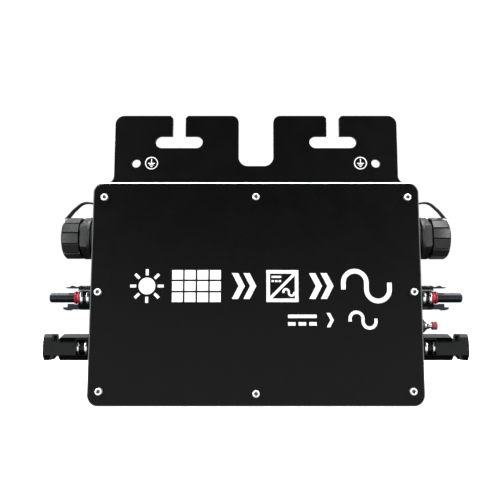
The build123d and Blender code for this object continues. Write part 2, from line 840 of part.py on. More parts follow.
def make_transistors():
    """Power transistors against the back plate, their legs bent to the board."""
    bodies = []
    back = back_inner - pad_thick
    for x in transistor_places:
        body = block(x - 5, x + 5, back - transistor_thick, back, 147.5, 159.5)
        for step in (-2.5, 0.0, 2.5):
            leg = block(x + step - 0.4, x + step + 0.4, back - 2.6, back - 2.0, 141.4, 148.0)
            foot = block(x + step - 0.4, x + step + 0.4, board_back, back - 2.0, 141.4, 142.0)
            body = body + leg + foot
        bodies.append(body)
    return bodies


def make_transistor_pads():
    return [block(x - 6, x + 6, back_inner - pad_thick, back_inner, 147.0, 160.0)
            for x in transistor_places]


def make_clamp_bar():
    front = back_inner - pad_thick - transistor_thick - 2.0
    bar_body = block(-84, 84, front, front + 2.0, 150.5, 156.5)
    for x, z in clamp_posts:
        bar_body -= plate(Pos(x, z) * Circle(1.6), front, 2.0)
    return bar_body


def make_clamp_screws():
    front = back_inner - pad_thick - transistor_thick - 2.0
    return [pan_screw(x, z, front, 7.5) for x, z in clamp_posts]


def lead(start, reach, radius, bend):
    """A wire that leaves a contact inwards and turns to the board."""
    x, y, z = start
    route = FilletPolyline((x, y, z), (reach, y, z), (reach, board_front, z), radius=bend)
    section = Plane(origin=(x, y, z), z_dir=(-1, 0, 0)) * Circle(radius)
    return sweep(section, route)


def make_dc_leads():
    wires = []
    for height in (plug_height, socket_height):
        wire = lead((neck_inner, axis_y, height), 96.0, 1.5, 3.3)
        wires += [wire, mirror(wire, about=Plane.YZ)]
    return wires


def make_ac_leads():
    wires = []
    for angle, reach in zip(pin_angles, (99.0, 95.0, 102.0)):
        y, z = pin_place(angle)
        wire = lead((ac_pin_start, axis_y + y, ac_height + z), reach, 1.0, 1.5)
        wires += [wire, mirror(wire, about=Plane.YZ)]
    return wires


# ---------------------------------------------------------------- all sub-parts

single_parts = {
    "housing": make_housing,
    "mounting_frame": make_frame,
    "front_cover": make_cover,
    "cover_gasket": make_gasket,
    "cover_screws": make_cover_screws,
    "front_print": make_front_print,
    "earth_marks": make_earth_marks,
    "button_collar": make_button_collar,
    "button_bush": make_button_bush,
    "button_nut": make_button_nut,
    "button_switch": make_button_switch,
    "button_stem": make_button_stem,
    "button_cap": make_button_cap,
    "button_spring": make_button_spring,
    "circuit_board": make_board,
    "board_screws": make_board_screws,
    "transformer_cores": make_transformer_cores,
    "transformer_windings": make_transformer_windings,
    "storage_capacitors": make_capacitors,
    "film_capacitors": make_film_capacitors,
    "choke_core": make_choke_core,
    "choke_turns": make_choke_winding,
    "relays": make_relays,
    "fuse": make_fuse,
    "fuse_clips": make_fuse_clips,
    "control_chips": make_chips,
    "power_transistors": make_transistors,
    "transistor_pads": make_transistor_pads,
    "clamp_bar": make_clamp_bar,
    "clamp_screws": make_clamp_screws,
    "dc_leads": make_dc_leads,
    "ac_leads": make_ac_leads,
}

sided_parts = {
    "ac_socket": make_ac_socket,
    "ac_insert": make_ac_insert,
    "dust_cap": make_dust_cap,
    "cap_seal": make_cap_seal,
    "tether_anchor": make_tether_anchor,
    "tether_strap": make_tether_strap,
    "tether_ring": make_tether_ring,
    "pv_plug": make_pv_plug,
    "pv_plug_seal": make_pv_plug_seal,
    "pv_socket": make_pv_socket,
}

paired_parts = {
    "ac_pins": make_ac_pins(),
    "ac_seals": [make_ac_seal()],
    "ac_lock_nuts": [make_ac_nut()],
    "pv_plug_contacts": [make_pv_plug_contact()],
    "pv_socket_contacts": [make_pv_socket_contact()],
    "pv_lock_nuts": [make_pv_nut(plug_height), make_pv_nut(socket_height)],
    "pv_rings": make_pv_rings(plug_height, plug_ring_start)
    + make_pv_rings(socket_height, socket_ring_start),
}


def solids_of(shape):
    """The separate solids of one shape or of a list of shapes."""
    if isinstance(shape, list):
        return [solid for item in shape for solid in item.solids()]
    return list(shape.solids())


def save(name, solids):
    whole = solids[0] if len(solids) == 1 else Compound(children=solids)
    export_step(whole, f"parts/{name}.step")


os.makedirs("parts", exist_ok=True)
for name, maker in single_parts.items():
    save(name, solids_of(maker()))
for name, maker in sided_parts.items():
    right = solids_of(maker())
    save(f"{name}_right", right)
    save(f"{name}_left", [mirror(solid, about=Plane.YZ) for solid in right])
for name, shapes in paired_parts.items():
    right = solids_of(shapes)
    save(name, right + [mirror(solid, about=Plane.YZ) for solid in right])
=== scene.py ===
import json
import math

import bmesh
import bpy
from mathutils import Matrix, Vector
from mathutils.geometry import tessellate_polygon


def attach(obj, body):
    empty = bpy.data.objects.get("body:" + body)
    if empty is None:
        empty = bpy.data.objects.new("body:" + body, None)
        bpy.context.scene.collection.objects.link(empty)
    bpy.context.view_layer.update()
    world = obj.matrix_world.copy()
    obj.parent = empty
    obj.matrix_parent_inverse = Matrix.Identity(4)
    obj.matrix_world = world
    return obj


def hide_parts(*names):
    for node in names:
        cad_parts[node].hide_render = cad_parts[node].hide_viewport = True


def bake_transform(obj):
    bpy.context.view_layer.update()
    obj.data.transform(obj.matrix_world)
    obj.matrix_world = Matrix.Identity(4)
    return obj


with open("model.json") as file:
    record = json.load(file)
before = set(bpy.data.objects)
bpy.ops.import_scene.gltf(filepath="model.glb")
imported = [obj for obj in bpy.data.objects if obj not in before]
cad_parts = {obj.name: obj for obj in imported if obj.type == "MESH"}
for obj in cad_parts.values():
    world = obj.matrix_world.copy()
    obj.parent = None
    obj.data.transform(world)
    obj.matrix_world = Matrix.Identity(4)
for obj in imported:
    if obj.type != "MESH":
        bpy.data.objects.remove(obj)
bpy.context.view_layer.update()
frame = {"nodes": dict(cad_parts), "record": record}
nodes = frame["nodes"]

# Lengths below are in millimetres, in the CAD frame: X right, Y back, Z up.
MM = 0.001

COVER_FRONT = -18.8
GASKET_FRONT = -16.3
FRAME_FRONT = -15.5
FRAME_BACK = -12.0
AXIS_Y = 1.2
HALF_WIDTH = 122.5
HEIGHT = 165.0
CORNER = 8.0
EAR_HALF = 108.2
EAR_TOP = 218.3
EARTH_HOLE_X = 91.5
EARTH_HOLE_Z = 180.8
EARTH_HOLE = 3.35
SLOT_X = 59.0
SLOT_Z = 197.5
AC_HEIGHT = 125.0
PLUG_HEIGHT = 79.0
BUTTON_HEIGHT = 57.6
SOCKET_HEIGHT = 41.6
SCREWS = [(-113.5, 10.6), (0.0, 9.0), (113.5, 10.6), (-116.3, 82.3), (116.3, 82.3),
          (-113.5, 153.1), (0.0, 153.4), (113.5, 153.1)]
SCREW_HOLE = 1.7
SIDES = {"right": 1, "left": -1}


# ---------------------------------------------------------------- materials

def ramp(tree, source, low, high, start=0.35, end=0.65):
    """Map a 0..1 value between two numbers."""
    node = tree.nodes.new("ShaderNodeMapRange")
    node.inputs["From Min"].default_value = start
    node.inputs["From Max"].default_value = end
    node.inputs["To Min"].default_value = low
    node.inputs["To Max"].default_value = high
    tree.links.new(source, node.inputs["Value"])
    return node.outputs["Result"]


def noise(tree, size, detail=3.0, stretch=(1, 1, 1)):
    """Noise in the piece's own coordinates, size in millimetres."""
    coords = tree.nodes.new("ShaderNodeTexCoord")
    mapping = tree.nodes.new("ShaderNodeMapping")
    mapping.inputs["Scale"].default_value = stretch
    tree.links.new(coords.outputs["Object"], mapping.inputs["Vector"])
    node = tree.nodes.new("ShaderNodeTexNoise")
    node.inputs["Scale"].default_value = 1 / (size * MM)
    node.inputs["Detail"].default_value = detail
    tree.links.new(mapping.outputs["Vector"], node.inputs["Vector"])
    return node.outputs["Fac"]


PATCH_SIZE = 14.0
TONE_SIZE = 5.0
TONE_SHARE = 1.5


def material(name, colour, rough, metal=0.0, grain=0.0, grain_size=0.4, wear=0.06,
             coat=0.0, specular=0.5, stretch=(1, 1, 1), clear=0.0):
    """A principled surface: slightly uneven roughness and tone, and a fine grain in its bump."""
    made = bpy.data.materials.new(name)
    made.use_nodes = True
    tree = made.node_tree
    shader = tree.nodes["Principled BSDF"]
    shader.inputs["Metallic"].default_value = metal
    shader.inputs["Specular IOR Level"].default_value = specular
    shader.inputs["Coat Weight"].default_value = coat
    shader.inputs["Coat Roughness"].default_value = 0.08
    shader.inputs["Transmission Weight"].default_value = clear
    patches = noise(tree, PATCH_SIZE, 4.0, stretch)
    tree.links.new(ramp(tree, patches, rough * (1 - wear), rough * (1 + wear)),
                   shader.inputs["Roughness"])
    mix = tree.nodes.new("ShaderNodeMix")
    mix.data_type = "RGBA"
    dark = [max(c * (1 - TONE_SHARE * wear), 0) for c in colour]
    light = [min(c * (1 + TONE_SHARE * wear), 1) for c in colour]
    mix.inputs["A"].default_value = (*dark, 1)
    mix.inputs["B"].default_value = (*light, 1)
    tree.links.new(ramp(tree, noise(tree, TONE_SIZE, 5.0, stretch), 0, 1), mix.inputs["Factor"])
    tree.links.new(mix.outputs["Result"], shader.inputs["Base Color"])
    if grain:
        bump = tree.nodes.new("ShaderNodeBump")
        bump.inputs["Strength"].default_value = 1.0
        bump.inputs["Distance"].default_value = grain * MM
        tree.links.new(noise(tree, grain_size, 2.0, stretch), bump.inputs["Height"])
        tree.links.new(bump.outputs["Normal"], shader.inputs["Normal"])
    return made


SKIN = {
    "housing_paint": material("housing_paint", (0.0014, 0.0015, 0.0016), 0.32, grain=0.02,
                              grain_size=0.5, specular=0.12),
    "cover_paint": material("cover_paint", (0.0016, 0.0017, 0.0019), 0.27, grain=0.02,
                            grain_size=0.7, specular=0.132),
    "bare_edge": material("bare_edge", (0.80, 0.81, 0.82), 0.3, metal=1.0),
    "gasket_rubber": material("gasket_rubber", (0.02, 0.02, 0.02), 0.75, grain=0.03),
    "screw_steel": material("screw_steel", (0.88, 0.88, 0.87), 0.36, metal=0.75, grain=0.01),
    # Painted shade: a dark finish for the floor and walls of each screw's hexagon socket, standing in
    # for the shade in that recess.
    "socket_painted_shade": material("socket_painted_shade", (0.12, 0.12, 0.12), 0.5, metal=0.5),
    "white_ink": material("white_ink", (0.88, 0.88, 0.87), 0.55, grain=0.01, grain_size=0.2),
    "black_plastic": material("black_plastic", (0.018, 0.0185, 0.0195), 0.38, grain=0.03,
                              grain_size=0.45),
    "socket_plastic": material("socket_plastic", (0.0032, 0.0036, 0.0038), 0.24, grain=0.045,
                               grain_size=0.9, specular=0.23),
    "gloss_plastic": material("gloss_plastic", (0.004, 0.008, 0.012), 0.24, grain=0.004, specular=0.4),
    "insert_plastic": material("insert_plastic", (0.09, 0.09, 0.095), 0.5, grain=0.02),
    "black_rubber": material("black_rubber", (0.022, 0.022, 0.022), 0.6, grain=0.02),
    "red_rubber": material("red_rubber", (0.46, 0.012, 0.022), 0.3, coat=0.2, grain=0.01),
    "nickel": material("nickel", (0.86, 0.86, 0.85), 0.14, metal=1.0, wear=0.12),
    "tinned_copper": material("tinned_copper", (0.80, 0.74, 0.62), 0.25, metal=1.0),
    "button_red": material("button_red", (0.38, 0.035, 0.075), 0.4, grain=0.006),
    "spring_steel": material("spring_steel", (0.6, 0.6, 0.6), 0.3, metal=1.0),
    "board_green": material("board_green", (0.02, 0.16, 0.07), 0.35, coat=0.2),
    "ferrite": material("ferrite", (0.05, 0.05, 0.055), 0.6, grain=0.04),
    "winding_tape": material("winding_tape", (0.70, 0.48, 0.08), 0.35),
    "copper_wire": material("copper_wire", (0.72, 0.30, 0.12), 0.25, metal=0.8),
    "can_sleeve": material("can_sleeve", (0.03, 0.04, 0.09), 0.25, coat=0.2),
    "film_yellow": material("film_yellow", (0.74, 0.55, 0.06), 0.3, coat=0.2),
    "relay_case": material("relay_case", (0.03, 0.08, 0.28), 0.4),
    "fuse_glass": material("fuse_glass", (0.9, 0.95, 0.95), 0.05, clear=0.9),
    "chip_epoxy": material("chip_epoxy", (0.02, 0.02, 0.02), 0.55, grain=0.02),
    "pad_grey": material("pad_grey", (0.42, 0.44, 0.47), 0.7),
    "wire_jacket": material("wire_jacket", (0.30, 0.02, 0.02), 0.4),
    "core_green": material("core_green", (0.03, 0.2, 0.12), 0.4),
    "bar_aluminium": material("bar_aluminium", (0.75, 0.75, 0.76), 0.35, metal=1.0,
                              stretch=(0.05, 1, 1)),
}


# ---------------------------------------------------------------- shapes

def soften(corners, steps):
    """A line through (u, v, radius) corners. Each is rounded by an arc, with steps for a quarter
    turn; a radius of 0 keeps the corner."""
    outline = []
    for index, (u, v, radius) in enumerate(corners):
        here = Vector((u, v))
        before = (Vector(corners[index - 1][:2]) - here).normalized()
        after = (Vector(corners[(index + 1) % len(corners)][:2]) - here).normalized()
        angle = math.acos(max(-1.0, min(1.0, before.dot(after))))
        if radius <= 0 or math.pi - angle < 1e-3:
            outline.append((u, v))
            continue
        reach = radius / math.tan(angle / 2)
        centre = here + (before + after).normalized() * radius / math.sin(angle / 2)
        start = here + before * reach - centre
        turn = math.pi - angle
        if before.x * after.y - before.y * after.x > 0:
            turn = -turn
        count = max(1, round(steps * abs(turn) / (math.pi / 2)))
        for step in range(count + 1):
            a = turn * step / count
            outline.append((centre.x + start.x * math.cos(a) - start.y * math.sin(a),
                            centre.y + start.x * math.sin(a) + start.y * math.cos(a)))
    return outline


def full_turn(count):
    """Evenly spaced angles of one turn."""
    return [2 * math.pi * i / count for i in range(count)]


def circle(u, v, radius):
    return [(u + radius * math.cos(a), v + radius * math.sin(a)) for a in full_turn(40)]


def rectangle(u0, u1, v0, v1, radius, steps=8):
    return soften([(u0, v0, radius), (u1, v0, radius), (u1, v1, radius), (u0, v1, radius)], steps)


def inset(outline, distance):
    """Move a counter-clockwise outline inwards by a small distance."""
    moved = []
    for index, point in enumerate(outline):
        here = Vector(point)
        before = (here - Vector(outline[index - 1])).normalized()
        after = (Vector(outline[(index + 1) % len(outline)]) - here).normalized()
        normal = Vector((-before.y - after.y, before.x + after.x))
        scale = distance / max(0.25, normal.dot(Vector((-before.y, before.x))))
        moved.append(tuple(here + normal * scale))
    return moved


class Shape:
    """A mesh in the making: points in millimetres, faces, and a finish number for each face."""

    def __init__(self):
        self.points = []
        self.faces = []
        self.finish = []

    def add(self, points, faces, finish=0):
        base = len(self.points)
        self.points += [tuple(p) for p in points]
        self.faces += [tuple(base + i for i in face) for face in faces]
        self.finish += [finish] * len(faces)
        return self

    def shell(self, rings, closed=False):
        """Skin between rings of points; a ring of one point is a tip. Closed joins last to first."""
        points, starts = [], []
        for ring in rings:
            starts.append(len(points))
            points += ring
        faces = []
        last = len(rings) if closed else len(rings) - 1
        for index in range(last):
            a, b = index, (index + 1) % len(rings)
            count = max(len(rings[a]), len(rings[b]))
            for i in range(count):
                j = (i + 1) % count
                face = []
                for ring, order in ((a, (i, j)), (b, (j, i))):
                    if len(rings[ring]) == 1:
                        face.append(starts[ring])
                    else:
                        face += [starts[ring] + k for k in order]
                if len(face) > 2:
                    faces.append(face)
        if not closed:
            for index, flip in ((0, True), (len(rings) - 1, False)):
                ring = [starts[index] + i for i in range(len(rings[index]))]
                if len(ring) > 2:
                    faces.append(ring[::-1] if flip else ring)
        return self.add(points, faces)

    def turned(self, outline, count):
        """Body of revolution on the X axis from an (x, radius) outline."""
        rings = []
        for x, radius in outline:
            if radius < 1e-6:
                rings.append([(x, 0, 0)])
                continue
            rings.append([(x, radius * math.cos(a), radius * math.sin(a)) for a in full_turn(count)])
        return self.shell(rings, closed=len(rings[0]) > 1 or len(rings[-1]) > 1)

    def lathe(self, corners, count=96):
        """Body of revolution on the X axis from (x, radius, rounding) corners."""
        return self.turned(soften(corners, 3), count)

    def radial(self, stations, angles, closed=True):
        """Rings along X whose radius is a function of the angle."""
        rings = []
        for x, radius in stations:
            rings.append([(x, radius(a) * math.cos(a), radius(a) * math.sin(a)) for a in angles])
        return self.shell(rings, closed)

    def plate(self, outer, holes, steps, finishes=None):
        """A plate in X and Z. Steps are (inset, y) from the front face to the back face."""
        loops = [outer] + holes
        for number, loop in enumerate(loops):
            rings = []
            for distance, y in steps:
                edge = inset(loop, distance if number == 0 else -distance)
                rings.append([(x, y, z) for x, z in edge])
            points = [p for ring in rings for p in ring]
            count = len(loop)
            for step in range(len(rings) - 1):
                faces = []
                for i in range(count):
                    j = (i + 1) % count
                    face = (step * count + i, step * count + j,
                            (step + 1) * count + j, (step + 1) * count + i)
                    faces.append(face if number else face[::-1])
                self.add(points, faces, finishes[step] if finishes else 0)
        for index in (0, -1):
            distance, y = steps[index]
            edges = [inset(loop, distance if n == 0 else -distance) for n, loop in enumerate(loops)]
            flat = [(x, y, z) for edge in edges for x, z in edge]
            triangles = tessellate_polygon([[Vector((x, z, 0)) for x, z in e] for e in edges])
            for triangle in triangles:
                a, b, c = (Vector(flat[i]) for i in triangle)
                facing = (b - a).cross(c - a).y
                if (facing > 0) == (index == 0):
                    triangle = triangle[::-1]
                self.add([flat[i] for i in triangle], [(0, 1, 2)])
        return self

    def block(self, x0, x1, y0, y1, z0, z1, round_by):
        """A box along X with rounded long edges and eased ends."""
        section = rectangle(y0, y1, z0, z1, round_by, 3)
        ease = min(round_by, abs(x1 - x0) / 4)
        rings = []
        for x, distance in ((x0, ease), (x0 + ease, 0), (x1 - ease, 0), (x1, ease)):
            rings.append([(x, y, z) for y, z in inset(section, distance)])
        return self.shell(rings)

    def sweep(self, path, section):
        """Sweep a section along a path in X and Z. It gives (u, v) points for a share of the path,
        u along Y and v across the path."""
        rings = []
        for index, (x, z) in enumerate(path):
            before = Vector(path[max(index - 1, 0)])
            after = Vector(path[min(index + 1, len(path) - 1)])
            along = (after - before).normalized()
            points = section(index / (len(path) - 1))
            rings.append([(x - v * along.y, u, z + v * along.x) for u, v in points])
        return self.shell(rings)

    def merge(self, other):
        base = len(self.points)
        self.points += other.points
        self.faces += [tuple(base + i for i in face) for face in other.faces]
        self.finish += other.finish
        return self

    def at(self, height, side=1):
        """Onto a connector axis; the left side is the right one turned half round."""
        self.points = [(side * x, AXIS_Y + side * y, height + z) for x, y, z in self.points]
        return self


def constant(radius):
    """The same radius at every angle."""
    return lambda angle: radius


def rounds(outline):
    """Round stations for Shape.radial from (x, radius) pairs."""
    return [(x, constant(radius)) for x, radius in outline]


def polygon(flat, sides, turn=0.0):
    """Radius of a regular polygon by angle; flat is the distance to its sides."""
    step = 2 * math.pi / sides
    return lambda angle: flat / math.cos((angle - turn) % step - step / 2)


def chamfered(profile, limit):
    """A profile cut back to a round limit."""
    return lambda angle: min(profile(angle), limit)


def piece(name, shape, body, slot, replaced, extra=(), sharp=32.0):
    """Turn a shape into a mesh object that rides on its body; a blended piece has no body."""
    mesh = bpy.data.meshes.new(name)
    mesh.from_pydata([Vector(p) * MM for p in shape.points], [], shape.faces)
    mesh.update()
    obj = bpy.data.objects.new(name, mesh)
    bpy.context.scene.collection.objects.link(obj)
    for skin in (slot, *extra):
        mesh.materials.append(SKIN[skin])
    for face, finish in zip(mesh.polygons, shape.finish):
        face.material_index = finish
    clean(obj)
    mesh.polygons.foreach_set("use_smooth", [True] * len(mesh.polygons))
    mesh.set_sharp_from_angle(angle=math.radians(sharp))
    if body:
        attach(obj, body)
    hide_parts(*replaced)
    return obj


def clean(obj):
    """Weld shared points and turn all faces outwards."""
    work = bmesh.new()
    work.from_mesh(obj.data)
    bmesh.ops.remove_doubles(work, verts=work.verts, dist=1e-6)
    bmesh.ops.recalc_face_normals(work, faces=work.faces)
    work.to_mesh(obj.data)
    work.free()


# ---------------------------------------------------------------- cover, frame and housing

def screw_circles():
    """Outlines of the holes for the cover's screws."""
    return [circle(x, z, SCREW_HOLE) for x, z in SCREWS]


def inner_window():
    """Opening inside the mounting frame and its seal, clear of the screws."""
    return rectangle(-108.0, 108.0, 17.0, 148.0, 6.0)


def cover():
    """Painted plate with a bare bevel along its front edge."""
    bevel, bevel_depth, ease = 0.85, 0.75, 0.25
    outer = rectangle(-HALF_WIDTH, HALF_WIDTH, 0, HEIGHT, CORNER, 16)
    steps = [(bevel, COVER_FRONT), (0.0, COVER_FRONT + bevel_depth), (0.0, GASKET_FRONT - ease),
             (ease, GASKET_FRONT)]
    shape = Shape().plate(outer, screw_circles(), steps, finishes=(1, 0, 0))
    piece("cover_plate", shape, "inverter", "cover_paint", ["front_cover"], ["bare_edge"])


def ear_outline():
    """Outline of the mounting frame, counter-clockwise from the lower left corner."""
    half_slot, slot_end, mouth = 4.8, 18.0, 2.0
    notch, notch_floor = 13.2, 178.6
    top, bottom = SLOT_Z + half_slot, SLOT_Z - half_slot
    right = [(HALF_WIDTH, HEIGHT, CORNER), (EAR_HALF, HEIGHT, 6.0), (EAR_HALF, EAR_TOP, 7.0)]
    inner = [(SLOT_X + half_slot + mouth, EAR_TOP, 0.6), (SLOT_X + half_slot, EAR_TOP - mouth, 0.6),
             (SLOT_X + half_slot, top, 0.4), (SLOT_X + slot_end, top, half_slot),
             (SLOT_X + slot_end, bottom, half_slot), (SLOT_X - slot_end, bottom, half_slot),
             (SLOT_X - slot_end, top, half_slot), (SLOT_X - half_slot, top, 0.4),
             (SLOT_X - half_slot, EAR_TOP - mouth, 0.6), (SLOT_X - half_slot - mouth, EAR_TOP, 0.6),
             (notch, EAR_TOP, 5.5), (notch, notch_floor, 7.0)]
    half = [(HALF_WIDTH, 0.0, CORNER)] + right + inner
    return soften(half + [(-x, z, r) for x, z, r in reversed(half)], 12)


def mounting_frame():
    """Flat plate with both ears, its edges rounded in two steps."""
    edge, halfway = 0.3, 0.09
    holes = [inner_window()] + screw_circles()
    holes += [circle(side * EARTH_HOLE_X, EARTH_HOLE_Z, EARTH_HOLE) for side in SIDES.values()]
    steps = [(edge, FRAME_FRONT), (halfway, FRAME_FRONT + halfway), (0.0, FRAME_FRONT + edge),
             (0.0, FRAME_BACK - edge), (halfway, FRAME_BACK - halfway), (edge, FRAME_BACK)]
    shape = Shape().plate(ear_outline(), holes, steps)
    piece("mounting_plate", shape, "inverter", "housing_paint", ["mounting_frame"], sharp=20)


def gasket():
    """Rubber seal between the cover and the mounting frame, a little inside their edge."""
    gap, ease = 0.4, 0.25
    outer = rectangle(-HALF_WIDTH + gap, HALF_WIDTH - gap, gap, HEIGHT - gap, CORNER - gap, 12)
    steps = [(ease, GASKET_FRONT), (0.0, GASKET_FRONT + ease), (0.0, FRAME_FRONT - ease),
             (ease, FRAME_FRONT)]
    piece("cover_seal", Shape().plate(outer, [inner_window()] + screw_circles(), steps), "inverter",
          "gasket_rubber", ["cover_gasket"])


SCREW_TEETH = 28
SCREW_HEAD = 3.0
KEY_DEPTH = 1.6
KEY_FLAT = 1.25


def knurled(angle):
    """Radius of a knurled screw head by angle."""
    return 2.74 - 0.06 * abs(math.sin(SCREW_TEETH * angle / 2))


def in_key(corners):
    """Whether a face lies in the hexagon socket of a screw's head."""
    depths = [x for x, y, z in corners]
    radii = [math.hypot(y, z) for x, y, z in corners]
    return (min(depths) > SCREW_HEAD - KEY_DEPTH - 0.1 and max(depths) < SCREW_HEAD - 0.15
            and min(radii) < KEY_FLAT + 0.21)


def cap_screw(turn):
    """Socket head cap screw along X, its seat at 0: knurled head with a chamfered hexagon socket."""
    top, floor = SCREW_HEAD, SCREW_HEAD - KEY_DEPTH
    key = polygon(KEY_FLAT, 6, -turn)
    stations = [(floor - 0.05, constant(0.3)), (floor, key), (top - 0.2, key)]
    stations += rounds([(top - 0.02, 1.5), (top, 1.62), (top, 2.2), (top - 0.04, 2.38),
                        (top - 0.18, 2.56), (top - 0.4, 2.66)])
    stations += [(top - 0.5, knurled), (0.2, knurled)]
    stations += rounds([(0.1, 2.66), (0.0, 2.6), (0.0, 1.48), (-11.5, 1.48), (-12.0, 1.1)])
    shape = Shape().radial(stations, full_turn(4 * SCREW_TEETH), closed=False)
    # Faces inside the hexagon socket take the second finish, the painted shade of the socket.
    shape.finish = [int(in_key([shape.points[i] for i in face])) for face in shape.faces]
    return shape


def cap_screws():
    """The cover's screws, each with its socket turned another way."""
    screws = Shape()
    for number, (x, z) in enumerate(SCREWS):
        screw = cap_screw(0.35 + 1.9 * number)
        screw.points = [(x + b, COVER_FRONT - a, z + c) for a, b, c in screw.points]
        screws.merge(screw)
    piece("cap_screws", screws, "inverter", "screw_steel", ["cover_screws"], ["socket_painted_shade"])


cover()
mounting_frame()
gasket()
cap_screws()


# ---------------------------------------------------------------- alternating-current outlets

NECK_START = 108.0
NECK_RADIUS = 9.88
WALL = 125.5
FLANGE_RADIUS = 16.3
HEX_START = 128.1
HEX_END = 133.2
HEX_FLAT = 14.2
BARREL_END = 144.7
BORE_RADIUS = 11.22
BORE_FLOOR = 127.0
CHANNEL_RADIUS = 7.5
THREAD_ROOT = 12.9
THREAD_CREST = 13.76
THREAD_PITCH = 3.0
THREAD_START = 133.9
THREAD_END = 144.3
CAP_SIDES = 12
CAP_PHASE = math.radians(8.0)
CAP_START = 134.4
CAP_SHOULDER = 145.8
CAP_FLOOR = 145.4
CAP_END = 147.4
CAP_END_RADIUS = 14.7
CAP_RADIUS = 16.35
CAP_BORE = 13.85
CAP_THREAD_ROOT = 14.51
CAP_RIM_INNER = 14.4
CAP_RIM_OUTER = 14.8
TETHER_BUTTON = 4.0
TETHER_BUTTON_HEAD = 5.38
TETHER_WIDTH = 4.0
TETHER_THICK = 1.0
TETHER_START = CAP_END + 0.1
ANCHOR_X = 124.5
STRAP_TWIST = {"right": -0.2, "left": 0.4}


def thread(x, inner, outer, first, last):
    """Radius of a right-hand thread at X; it fades out near its first and last position."""
    def radius(angle):
        phase = (x / THREAD_PITCH - angle / (2 * math.pi)) % 1.0
        crest = min(1.0, max(0.0, 1.35 - 4.2 * abs(phase - 0.5)))
        fade = min(1.0, max(0.0, (x - first) / 0.8), max(0.0, (last - x) / 0.8))
        return inner + (outer - inner) * crest * fade
    return radius


def steps_between(start, end, count):
    """Values at even steps, both ends included."""
    return [start + (end - start) * step / count for step in range(count + 1)]


def ac_socket():
    """Round flange with six wrench flats, and a threaded barrel with a stepped bore."""
    hexagon = polygon(HEX_FLAT, 6, math.pi / 6)
    stations = rounds([(NECK_START, 9.6), (NECK_START + 0.4, NECK_RADIUS), (WALL, NECK_RADIUS),
                       (WALL, 15.5), (WALL + 0.12, 15.95), (WALL + 0.5, 16.2),
                       (WALL + 1.1, FLANGE_RADIUS), (HEX_START - 0.2, FLANGE_RADIUS)])
    stations += [(x, chamfered(hexagon, limit)) for x, limit in
                 ((HEX_START, FLANGE_RADIUS), (HEX_START + 0.1, FLANGE_RADIUS),
                  (HEX_END - 0.8, FLANGE_RADIUS), (HEX_END - 0.4, 16.1), (HEX_END - 0.1, 15.6))]
    stations += rounds([(HEX_END, 14.15), (HEX_END, 12.95)])
    stations += [(x, thread(x, THREAD_ROOT, THREAD_CREST, THREAD_START, THREAD_END))
                 for x in steps_between(THREAD_START, THREAD_END, 46)]
    stations += rounds([(BARREL_END - 0.15, 12.8), (BARREL_END, 12.5), (BARREL_END, 11.5),
                        (BARREL_END - 0.3, BORE_RADIUS), (BORE_FLOOR, BORE_RADIUS),
                        (BORE_FLOOR, CHANNEL_RADIUS), (NECK_START, CHANNEL_RADIUS)])
    return Shape().radial(stations, full_turn(180))


def cap_outside(shrink):
    """Radius of the cap by angle: twelve flats with a groove at each corner."""
    step = 2 * math.pi / CAP_SIDES
    flats = polygon(CAP_RADIUS * math.cos(math.pi / CAP_SIDES), CAP_SIDES, CAP_PHASE)

    def radius(angle):
        off = (angle - CAP_PHASE + step / 2) % step - step / 2
        across = abs(off) * CAP_RADIUS
        groove = CAP_RADIUS - 1.35 + 2.2 * max(0.0, across - 0.1)
        return min(flats(angle), groove) - shrink
    return radius


def dust_cap():
    """Cap with twelve flats and their grooves, an inner thread and the tether's button."""
    step = 360 / CAP_SIDES
    parts = [0, 0.5, 1.0, 1.5, 2.0, 2.5, 3.5, 6, 9, 12, 15, 18, 21, 24, 26.5, 27.5, 28, 28.5, 29, 29.5]
    angles = [CAP_PHASE + math.radians(step * side + part) for side in range(CAP_SIDES)
              for part in parts]
    outer = [(CAP_START, constant(CAP_RIM_OUTER))]
    outer += [(x, cap_outside(shrink)) for x, shrink in
              ((CAP_START, 0.45), (CAP_START + 0.12, 0.18), (CAP_START + 0.4, 0.02),
               (CAP_START + 0.6, 0.0), (CAP_SHOULDER - 0.3, 0.0), (CAP_SHOULDER, 0.08))]
    run, drop = CAP_END - CAP_SHOULDER, CAP_RADIUS - CAP_END_RADIUS
    outer += [(CAP_SHOULDER + run * k, chamfered(cap_outside(0.1 + 0.3 * k), CAP_RADIUS - drop * k))
              for k in (0.25, 0.5, 0.75, 0.92)]
    outer += rounds([(CAP_END - 0.04, CAP_END_RADIUS - 0.3), (CAP_END, CAP_END_RADIUS - 0.6)])
    outer += rounds([(CAP_END + x, r) for x, r in
                     ((0.0, 4.3), (0.1, 4.05), (1.2, TETHER_BUTTON), (1.2, 5.2),
                      (1.32, TETHER_BUTTON_HEAD), (1.6, TETHER_BUTTON_HEAD), (1.95, 5.1),
                      (2.15, 4.3), (2.2, 0.4))])
    last, first = CAP_FLOOR - 0.8, CAP_START + 0.8
    inner = rounds([(CAP_FLOOR, 0.4), (CAP_FLOOR, CAP_BORE)])
    inner += [(x, thread(x, CAP_BORE, CAP_THREAD_ROOT, first, last))
              for x in steps_between(last, first, 30)]
    inner += rounds([(CAP_START + 0.5, CAP_BORE + 0.1), (CAP_START, CAP_RIM_INNER)])
    rim = rounds([(CAP_START, CAP_RIM_INNER), (CAP_START, CAP_RIM_OUTER)])
    shape = Shape().radial(outer, angles, closed=False)
    shape.radial(inner, angles, closed=False)
    return shape.radial(rim, angles, closed=False)


def tether_root():
    """Ring of the tether behind the outlet's flange, with the foot of its strap."""
    start, half = WALL - 2.0, TETHER_THICK / 2
    shape = Shape().lathe([(start, 9.92, 0.1), (WALL, 9.92, 0.1), (WALL, 14.6, 0.4),
                           (start, 14.6, 0.4)])
    return shape.block(ANCHOR_X - half, ANCHOR_X + half, -TETHER_WIDTH / 2, TETHER_WIDTH / 2,
                       14.0, 16.5, 0.2)


